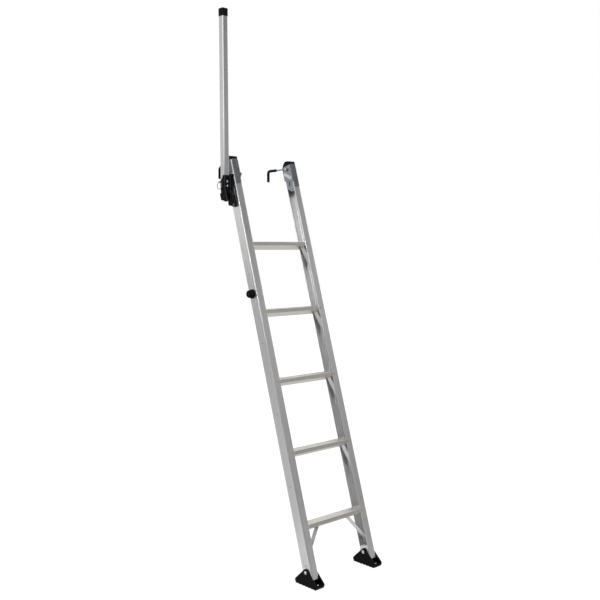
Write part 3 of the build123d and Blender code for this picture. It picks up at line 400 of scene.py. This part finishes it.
def runTree(name, points, edges, tree, values, material, facing=None):   # to a plain mesh
    seed = bpy.data.meshes.new(name)
    seed.from_pydata(points, edges, [])
    if facing:
        heading = seed.attributes.new("facing", "FLOAT_VECTOR", "POINT")
        for item, way in zip(heading.data, facing):
            item.vector = way
    piece = bpy.data.objects.new(name, seed)
    scene.collection.objects.link(piece)
    modifier = piece.modifiers.new("nodes", "NODES")
    modifier.node_group = tree
    sockets = {item.name: item.identifier for item in tree.interface.items_tree
               if item.in_out == "INPUT"}
    for label, value in values.items():
        modifier[sockets[label]] = value
    modifier[sockets["Material"]] = material
    bpy.context.view_layer.update()
    evaluated = piece.evaluated_get(bpy.context.evaluated_depsgraph_get())
    shape = bpy.data.meshes.new_from_object(evaluated)
    piece.modifiers.clear()
    piece.data = shape
    shape.shade_smooth()
    shape.set_sharp_from_angle(angle=math.radians(sharpAngle))
    return piece


def setFasteners(name, node, body, tree, sizes, material, places):
    values = {size: sizes.get(size, 0.0) * mm for size in fastenerSizes}
    spots, ways = [place for place, way in places], [way for place, way in places]
    piece = runTree(name, spots, [], tree, values, material, ways)
    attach(piece, body)
    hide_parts(node)


rivet = {"Head Radius": 4.5, "Head Height": 2.0, "Shank Radius": 2.5, "Tail Radius": 3.8,
         "Tail Height": 1.5}
screw = {"Head Radius": 4.5, "Head Height": 2.5, "Shank Radius": 2.5, "Tail Radius": 4.5,
         "Tail Height": 2.5, "Socket Radius": 1.7, "Socket Depth": 1.4}

# rungs to flanges, one rivet in front and one behind at each end
rungRivets = dict(rivet, Grip=5.5, inset=9.0, below=7.9)
rungRivets["Head Height"] = 0.8
places = []
for tread in treads:
    s = tread - rungRivets["below"]
    for hand in (-1, 1):
        x = hand * (ladder["halfClear"] + rungRivets["inset"])
        places.append((onLadder(x, 0, s), -towardsTruck))
        places.append((onLadder(x, ladder["depth"], s), towardsTruck))
setFasteners("rungRivetHeads", "rung_rivets", "ladder", rivetTree, rungRivets,
             peenedAluminium, places)

# braces to webs; the lowest rung has the longer ones
brace = {
    "behind": 23.0,                      # middle of the strip, behind the front face
    "falls": [119.0] + [102.0] * 4,      # rung's underside to the bend
    "tab": 15.0,                         # bend to rivet
    "starts": [90.0] + [149.0] * 4,      # upper end, from the ladder's middle
    "tabFace": 182.3,                    # tab's inner face, from the ladder's middle
    "halfWidth": 11.0,
    "halfThick": 1.5,
}
braceRivets = dict(rivet, Grip=5.2)
places = []
for tread, fall in zip(treads, brace["falls"]):
    s = tread - underside(brace["behind"]) - fall - brace["tab"]
    for hand in (-1, 1):
        places.append((onLadder(hand * ladder["outer"], brace["behind"], s), sideways * hand))
setFasteners("braceRivetHeads", "brace_rivets", "ladder", rivetTree, braceRivets,
             peenedAluminium, places)

# rail tube in its socket
rail = {
    "x": -224.5,                         # middle of the tube
    "cheek": -244.85,                    # outer face of the bracket's cheek
    "boltSeat": -199.15,                 # floor of the bolts' pockets in the bracket
    "socketFront": -10.35,               # from the pivot, as the next two are
    "rivets": (28.0, 46.5),              # up
    "bolts": ((-19.468, -51.61), (4.0, 62.0)),   # towards the truck, and up
}
railRivets = dict(rivet, Grip=4.35)
railPivot = pivots["rail_fold"] / mm
socketFront = railPivot.y + rail["socketFront"]
places = [(Vector((rail["x"], socketFront, railPivot.z + z)) * mm, Vector((0, -1, 0)))
          for z in rail["rivets"]]
setFasteners("railRivetHeads", "rail_rivets", "rail", rivetTree, railRivets,
             zincSteel, places)

# rail bracket to stile
railBolts = dict(screw, Grip=13.85)
railBolts.update({"Head Radius": 6.5, "Head Height": 4.0, "Socket Radius": 2.9,
                  "Socket Depth": 2.2})
places = [(Vector((rail["boltSeat"], railPivot.y + y, railPivot.z + z)) * mm, -sideways)
          for y, z in rail["bolts"]]
setFasteners("railBracketBoltHeads", "rail_bracket_bolts", "ladder", screwTree,
             railBolts, dullSteel, places)

# the rail turns on this bolt
pivotBolt = {"Head Radius": 6.0, "Head Height": 3.0, "Shank Radius": 4.0, "Grip": 50.75,
             "Tail Radius": 4.0, "Tail Height": 2.0, "Socket Radius": 2.6, "Socket Depth": 1.6}
places = [(Vector((rail["cheek"], railPivot.y, railPivot.z)) * mm, -sideways)]
setFasteners("railPivotBoltHead", "rail_pivot_bolt", "ladder", screwTree, pivotBolt,
             blackSteel, places)

# brackets to stile tops
bracketScrews = dict(screw, Grip=5.7, x=173.0, front=-3.5, rear=53.5, frontBelow=(15.0, 88.0),
                     rearBelow=40.0)
places = []
for hand in (-1, 1):
    x = hand * bracketScrews["x"]
    for below in bracketScrews["frontBelow"]:
        places.append((onLadder(x, bracketScrews["front"], ladder["top"] - below), -towardsTruck))
    s = ladder["top"] - bracketScrews["rearBelow"]
    places.append((onLadder(x, bracketScrews["rear"], s), towardsTruck))
setFasteners("bracketScrewHeads", "bracket_screws", "ladder", screwTree,
             bracketScrews, dullSteel, places)

# hooks and latches on their screws
hookScrews = dict(screw, Grip=15.5, x=140.0)
hookScrews.update({"Head Radius": 6.0, "Head Height": 1.5, "Shank Radius": 3.0, "Tail Radius": 5.0,
                   "Tail Height": 3.5, "Socket Radius": 2.6, "Socket Depth": 0.9})
latchScrews = dict(screw, Grip=5.15, x=145.3)
latchScrews.update({"Head Radius": 4.0, "Shank Radius": 2.0, "Tail Radius": 2.0,
                    "Tail Height": 2.0})
for label, node, sizes, joint in (
        ("hookScrewHeads", "hook_pivot_screws", hookScrews, "right_hook_fold"),
        ("latchScrewHeads", "latch_screws", latchScrews, "right_latch_turn")):
    pivot = pivots[joint]
    places = [(Vector((hand * sizes["x"] * mm, pivot.y, pivot.z)), sideways * -hand)
              for hand in (-1, 1)]
    setFasteners(label, node, "ladder", screwTree, sizes, zincSteel, places)

# shoes: the bolt each one tilts on, and the screws in its sole
shoeBolts = {"Head Radius": 7.5, "Head Height": 4.0, "Shank Radius": 5.0, "Grip": 46.4,
             "Tail Radius": 7.5, "Tail Height": 4.0, "x": 193.2}
soleScrews = dict(screw, Grip=6.0, x=170.0, seat=12.5, apart=48.0)
soleScrews.update({"Tail Radius": 2.5, "Tail Height": 2.0})
for hand, side in ((-1, "left"), (1, "right")):
    pivot = pivots[side + "_shoe_tilt"]
    places = [(Vector((hand * shoeBolts["x"] * mm, pivot.y, pivot.z)), sideways * hand)]
    setFasteners(side + "ShoeBoltHead", side + "_shoe_bolt", "ladder", rivetTree,
                 shoeBolts, zincSteel, places)
    x = hand * soleScrews["x"]
    places = [(Vector((x, pivot.y / mm + y, soleScrews["seat"])) * mm, Vector((0, 0, 1)))
              for y in (-soleScrews["apart"], soleScrews["apart"])]
    setFasteners(side + "SoleScrewHeads", side + "_sole_screws", side + "_shoe",
                 screwTree, soleScrews, zincSteel, places)

# the rest for the folded rail
restScrew = dict(screw, Grip=19.2, x=-204.5, behind=30.0, s=1219.0)
places = [(onLadder(restScrew["x"], restScrew["behind"], restScrew["s"]), -sideways)]
setFasteners("railRestScrewHead", "rail_rest_screw", "ladder", screwTree, restScrew,
             zincSteel, places)
print("fasteners: set")

# Weld beads where the braces meet the rungs' undersides: overlapping ripples along each seam.
bead = {
    "radius": 1.8,
    "spacing": 1.7,                      # ripple to ripple
    "offset": 0.8,                       # from the strip's face
    "endInset": 1.5,                     # from the strip's edges
    "hang": 0.5,                         # below the rung's underside
    "segments": 10,
    "rings": 6,
    "leastScale": (0.85, 0.85, 0.7),     # ripples differ a little
    "mostScale": (1.0, 1.0, 0.9),
    "seed": 4,
}


def beadTree(name):
    tree = bpy.data.node_groups.new(name, "GeometryNodeTree")
    tree.interface.new_socket("Seams", in_out="INPUT", socket_type="NodeSocketGeometry")
    for size in ("Bead Radius", "Ripple Spacing"):
        tree.interface.new_socket(size, in_out="INPUT", socket_type="NodeSocketFloat")
    tree.interface.new_socket("Material", in_out="INPUT", socket_type="NodeSocketMaterial")
    tree.interface.new_socket("Beads", in_out="OUTPUT", socket_type="NodeSocketGeometry")
    given = addNode(tree, "NodeGroupInput").outputs
    seam = addNode(tree, "GeometryNodeMeshToCurve", {"Mesh": given["Seams"]})
    steps = addNode(tree, "GeometryNodeResampleCurve", {
        "Curve": seam.outputs[0], "Length": given["Ripple Spacing"]}, mode="LENGTH")
    ripple = addNode(tree, "GeometryNodeMeshUVSphere", {
        "Segments": bead["segments"], "Rings": bead["rings"], "Radius": given["Bead Radius"]})
    tangent = addNode(tree, "GeometryNodeInputTangent").outputs[0]
    along = addNode(tree, "FunctionNodeAlignRotationToVector", {"Vector": tangent}, axis="Z")
    uneven = addNode(tree, "FunctionNodeRandomValue", {
        "Min": bead["leastScale"], "Max": bead["mostScale"], "Seed": bead["seed"]},
        data_type="FLOAT_VECTOR")
    placed = addNode(tree, "GeometryNodeInstanceOnPoints", {
        "Points": steps.outputs[0], "Instance": ripple.outputs[0], "Rotation": along.outputs[0],
        "Scale": uneven.outputs[0]})
    real = addNode(tree, "GeometryNodeRealizeInstances", {0: placed.outputs[0]})
    finished = addNode(tree, "GeometryNodeSetMaterial", {
        "Geometry": real.outputs[0], "Material": given["Material"]})
    addNode(tree, "NodeGroupOutput", {0: finished.outputs[0]})
    return tree


ends, seams = [], []
halfSeam = brace["halfWidth"] - bead["endInset"]
for tread, fall, start in zip(treads, brace["falls"], brace["starts"]):
    run = brace["tabFace"] - start
    spread = brace["halfThick"] * math.hypot(run, fall) / fall
    for hand in (-1, 1):
        for facing in (-1, 1):
            x = hand * (start + facing * (spread + bead["offset"]))
            seams.append((len(ends), len(ends) + 1))
            for n in (brace["behind"] - halfSeam, brace["behind"] + halfSeam):
                ends.append(onLadder(x, n, tread - underside(n) - bead["hang"]))
beadSizes = {"Bead Radius": bead["radius"] * mm, "Ripple Spacing": bead["spacing"] * mm}
weldBeads = runTree("braceWeldBeads", ends, seams, beadTree("layBeads"), beadSizes, weldMetal)
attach(weldBeads, "ladder")
print("weld beads: %d seams" % len(seams))

# Camera: the photograph's place, aim and lens, on a square picture; metres, degrees and lens mm
view = {"place": (-2.4017, -2.3779, 1.3368), "turn": 42.61, "dip": 3.31, "roll": -0.32,
        "lens": 49.716, "sensor": 36.0, "clipEnd": 200.0}
turn, dip, roll = (math.radians(view[key]) for key in ("turn", "dip", "roll"))
ahead = Vector((math.sin(turn) * math.cos(dip), math.cos(turn) * math.cos(dip), -math.sin(dip)))
level = Vector((math.cos(turn), -math.sin(turn), 0))
crown = level.cross(ahead)
right = level * math.cos(roll) + crown * math.sin(roll)
up = crown * math.cos(roll) - level * math.sin(roll)
lens = bpy.data.cameras.new("camera")
lens.lens, lens.sensor_width, lens.clip_end = view["lens"], view["sensor"], view["clipEnd"]
camera = bpy.data.objects.new("camera", lens)
scene.collection.objects.link(camera)
facingPhoto = Matrix((right, up, -ahead)).transposed().to_4x4()
camera.matrix_world = Matrix.Translation(view["place"]) @ facingPhoto
scene.camera = camera
print("camera: placed")

# Studio: white floor and surround, a soft box high beside the camera, and boards that only the
# metal mirrors, which give it its light and dark bands
studio = {"floorSize": 40.0, "floorColour": "#bdbdbd", "floorGlow": 0.72, "mirroredFloor": 0.25,
          "surroundSeen": 1.0, "surround": 0.8}
white = "#ffffff"


# one glow for camera and see-through rays, one for mirror rays, one for the rest
def rayGlow(tree, direct, mirrored, other):
    path = addNode(tree, "ShaderNodeLightPath").outputs
    seen = addNode(tree, "ShaderNodeMath", {
        0: path["Is Camera Ray"], 1: path["Is Transmission Ray"]}, operation="MAXIMUM")
    plain = addNode(tree, "ShaderNodeMapRange", {
        "Value": seen.outputs[0], "To Min": other, "To Max": direct})
    return addNode(tree, "ShaderNodeMapRange", {
        "Value": path["Is Glossy Ray"], "To Min": plain.outputs[0], "To Max": mirrored}).outputs[0]


def panel(name, material, corners, faces):
    shape = bpy.data.meshes.new(name)
    shape.from_pydata(corners, [], faces)
    shape.materials.append(material)
    piece = bpy.data.objects.new(name, shape)
    scene.collection.objects.link(piece)
    return piece


floorPaint, tree = emptyMaterial("studioFloor")
matt = addNode(tree, "ShaderNodeBsdfDiffuse", {"Color": linear(studio["floorColour"])})
strength = rayGlow(tree, studio["floorGlow"], studio["mirroredFloor"], 0.0)
shine = addNode(tree, "ShaderNodeEmission", {"Color": linear(white), "Strength": strength})
floorSum = addNode(tree, "ShaderNodeAddShader", {0: matt.outputs[0], 1: shine.outputs[0]})
addNode(tree, "ShaderNodeOutputMaterial", {"Surface": floorSum.outputs[0]})
half = studio["floorSize"] / 2
floorCorners = [(-half, -half, 0), (half, -half, 0), (half, half, 0), (-half, half, 0)]
panel("studioFloor", floorPaint, floorCorners, [(0, 1, 2, 3)])

# each board stands on an arc: its middle and reach in metres, degrees to the right of the camera
# at both ends, the glow at each height, and the share of it that a mirrored mirror shows
wallStep = 7.0                           # degrees to a flat
oneMirror, twoMirrors = 1.0, 2.0         # ray depth at a board
plainWall = {"middle": (0.0, 0.0), "reach": 4.2, "again": 1.0}
walls = [
    dict(plainWall, name="roomWall", starts=45, ends=115, glow=[
        (0.0, 0.25), (0.8, 0.28), (1.6, 0.31), (2.05, 0.36), (2.6, 0.44), (3.1, 0.35), (3.8, 0.2),
        (6.0, 0.08)]),
    dict(plainWall, name="cameraWall", starts=-22, ends=45, glow=[
        (0.0, 0.18), (1.9, 0.18), (2.3, 0.18), (2.6, 0.3), (3.1, 0.75), (3.6, 0.8), (4.2, 0.3)]),
    dict(plainWall, name="brightWall", starts=-44, ends=-22, again=0.45, glow=[
        (0.0, 0.26), (0.8, 0.31), (1.6, 0.4), (2.4, 0.5), (2.75, 10.0), (3.4, 10.0), (4.2, 0.3)]),
    dict(plainWall, name="leftWall", starts=-66, ends=-44, glow=[
        (0.0, 0.26), (0.8, 0.31), (1.6, 0.4), (2.2, 0.5), (3.4, 0.6), (4.2, 0.3)]),
    dict(plainWall, name="sideCard", reach=0.8, starts=-150, ends=-60, glow=[
        (0.0, 0.56), (0.45, 0.52), (0.7, 0.46), (0.95, 0.42), (1.2, 0.46), (1.5, 0.68), (1.9, 0.74),
        (2.6, 0.64), (3.4, 0.62)]),
    dict(plainWall, name="railCard", middle=(-0.2245, 0.4583), reach=0.25, starts=-60, ends=45,
         glow=[(1.72, 0.7), (1.9, 1.2), (2.6, 1.35)]),
]
for wall in walls:
    paint, tree = emptyMaterial(wall["name"])
    place = addNode(tree, "ShaderNodeTexCoord").outputs["Object"]
    height = addNode(tree, "ShaderNodeSeparateXYZ", {"Vector": place}).outputs["Z"]
    lowest, highest = wall["glow"][0][0], wall["glow"][-1][0]
    share = addNode(tree, "ShaderNodeMapRange", {
        "Value": height, "From Min": lowest, "From Max": highest})
    fade = addNode(tree, "ShaderNodeValToRGB", {"Fac": share.outputs[0]})
    stops = fade.color_ramp.elements
    for rise, glow in wall["glow"][1:-1]:
        stops.new((rise - lowest) / (highest - lowest))
    for stop, (rise, glow) in zip(stops, wall["glow"]):
        stop.color = (glow, glow, glow, 1.0)
    depth = addNode(tree, "ShaderNodeLightPath").outputs["Ray Depth"]
    strength = addNode(tree, "ShaderNodeMapRange", {
        "Value": depth, "From Min": oneMirror, "From Max": twoMirrors,
        "To Min": 1.0, "To Max": wall["again"]})
    grey = addNode(tree, "ShaderNodeEmission", {
        "Color": fade.outputs[0], "Strength": strength.outputs[0]})
    addNode(tree, "ShaderNodeOutputMaterial", {"Surface": grey.outputs[0]})
    arc = wall["ends"] - wall["starts"]
    flats = round(arc / wallStep)
    corners = []
    for k in range(flats + 1):
        around = math.radians(wall["starts"] + arc * k / flats) - turn
        x = wall["middle"][0] + math.sin(around) * wall["reach"]
        y = wall["middle"][1] - math.cos(around) * wall["reach"]
        corners += [(x, y, lowest), (x, y, highest)]
    faces = [(2 * k, 2 * k + 2, 2 * k + 3, 2 * k + 1) for k in range(flats)]
    board = panel(wall["name"], paint, corners, faces)
    board.visible_camera = board.visible_diffuse = board.visible_shadow = False

scene.world = bpy.data.worlds.new("studioSurround")
scene.world.use_nodes = True
tree = scene.world.node_tree
tree.nodes.clear()
strength = rayGlow(tree, studio["surroundSeen"], studio["surroundSeen"], studio["surround"])
sky = addNode(tree, "ShaderNodeBackground", {"Color": linear(white), "Strength": strength})
addNode(tree, "ShaderNodeOutputWorld", {"Surface": sky.outputs[0]})

softBox = {"place": (-2.6, -2.2, 3.2), "aim": (0, 0.3, 1.3), "width": 1.8, "height": 1.6,
           "watts": 26.0}
lamp = bpy.data.lights.new("keyBox", "AREA")
lamp.shape, lamp.energy = "RECTANGLE", softBox["watts"]
lamp.size, lamp.size_y = softBox["width"], softBox["height"]
keyBox = bpy.data.objects.new("keyBox", lamp)
scene.collection.objects.link(keyBox)
keyBox.location = softBox["place"]
keyBox.visible_glossy = False
aim = Vector(softBox["aim"]) - Vector(softBox["place"])
keyBox.rotation_euler = aim.to_track_quat("-Z", "Y").to_euler()
print("studio: floor, %d boards, surround and soft box" % len(walls))
